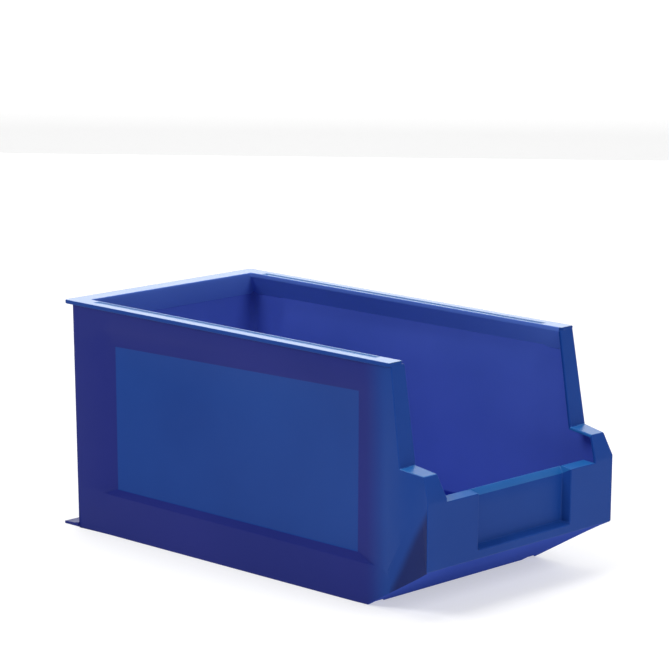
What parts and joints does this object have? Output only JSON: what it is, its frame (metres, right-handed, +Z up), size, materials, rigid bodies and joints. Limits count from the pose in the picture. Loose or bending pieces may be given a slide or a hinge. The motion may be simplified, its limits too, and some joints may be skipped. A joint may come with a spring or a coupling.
{
  "type": "stackable storage bin",
  "caption": "Open-front stackable storage bin with recessed side panels, a flanged stacking rim and a low front with a label recess.",
  "frame": {"origin": "middle of the bounding box round the bin, at the bottom, on the surface it stands on", "axes": "+Z up, -Y towards the low open front, +Y towards the rear wall, X across the width"},
  "size_m": [0.2064, 0.3848, 0.18],
  "materials": {
    "blue_plastic": "lightly textured injection-moulded polypropylene with a soft satin gloss"
  },
  "bodies": {
    "root": {"floor_plate": "blue_plastic", "front_foot_skirt": "blue_plastic", "front_lip": "blue_plastic", "front_panel": "blue_plastic", "front_ramp": "blue_plastic", "left_foot_rib": "blue_plastic", "left_front_cheek": "blue_plastic", "left_front_ledge": "blue_plastic", "left_front_post": "blue_plastic", "left_rim_rail": "blue_plastic", "left_side_wall": "blue_plastic", "rear_foot_flange": "blue_plastic", "rear_rim": "blue_plastic", "rear_wall": "blue_plastic", "right_foot_rib": "blue_plastic", "right_front_cheek": "blue_plastic", "right_front_ledge": "blue_plastic", "right_front_post": "blue_plastic", "right_rim_rail": "blue_plastic", "right_side_wall": "blue_plastic"}
  },
  "joints": []
}
